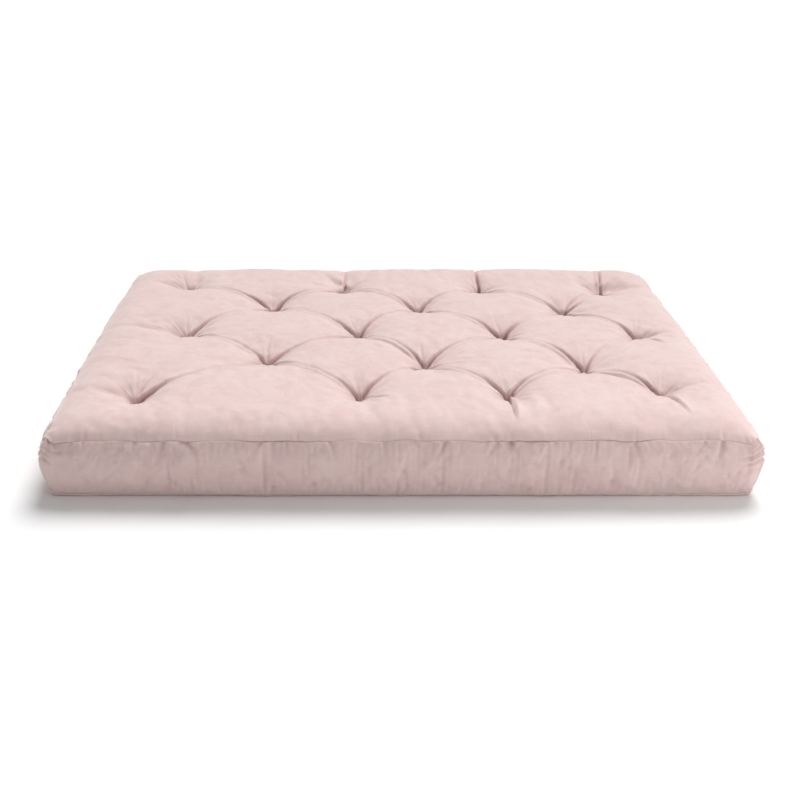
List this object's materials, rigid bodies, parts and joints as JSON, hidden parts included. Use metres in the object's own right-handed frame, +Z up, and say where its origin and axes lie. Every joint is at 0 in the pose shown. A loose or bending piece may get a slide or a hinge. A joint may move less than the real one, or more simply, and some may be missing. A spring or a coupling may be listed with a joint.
{
  "type": "futon mattress",
  "caption": "Tufted futon mattress: a sewn cloth cover over batting and foam, tied through with tuft cords, that folds up along a crease from a bed to a seat and back.",
  "frame": {"origin": "middle of the mattress's footprint, on the surface that it lies on", "axes": "+X along the long side, to the right as seen from the front; +Y from the front edge to the rear edge, across the crease; +Z up"},
  "size_m": [1.905, 1.372, 0.203],
  "materials": {
    "ticking": "matte",
    "batting": "matte",
    "foam": "matte",
    "tuft_cord": "matte"
  },
  "bodies": {
    "seat": {"front_border": "ticking", "seat_top_panel": "ticking", "seat_bottom_panel": "ticking", "seat_left_border": "ticking", "seat_right_border": "ticking", "seat_lower_batting": "batting", "seat_lower_foam": "foam", "seat_core_batting": "batting", "seat_upper_foam": "foam", "seat_upper_batting": "batting", "tuft_cord_1_1": "tuft_cord", "tuft_cord_1_2": "tuft_cord", "tuft_cord_1_3": "tuft_cord", "tuft_cord_1_4": "tuft_cord", "tuft_cord_2_1": "tuft_cord", "tuft_cord_2_2": "tuft_cord", "tuft_cord_2_3": "tuft_cord"},
    "back": {"rear_border": "ticking", "back_top_panel": "ticking", "back_bottom_panel": "ticking", "back_left_border": "ticking", "back_right_border": "ticking", "back_lower_batting": "batting", "back_lower_foam": "foam", "back_core_batting": "batting", "back_upper_foam": "foam", "back_upper_batting": "batting", "tuft_cord_3_1": "tuft_cord", "tuft_cord_3_2": "tuft_cord", "tuft_cord_3_3": "tuft_cord", "tuft_cord_3_4": "tuft_cord", "tuft_cord_4_1": "tuft_cord", "tuft_cord_4_2": "tuft_cord", "tuft_cord_4_3": "tuft_cord", "tuft_cord_5_1": "tuft_cord", "tuft_cord_5_2": "tuft_cord", "tuft_cord_5_3": "tuft_cord", "tuft_cord_5_4": "tuft_cord"}
  },
  "joints": [
    {"name": "fold_crease", "type": "hinge", "parent": "seat", "child": "back", "pos_m": [0, -0.08, 0.203], "axis": [1, 0, 0], "range_deg": [0, 80], "stiffness_Nm_per_rad": 6}
  ]
}
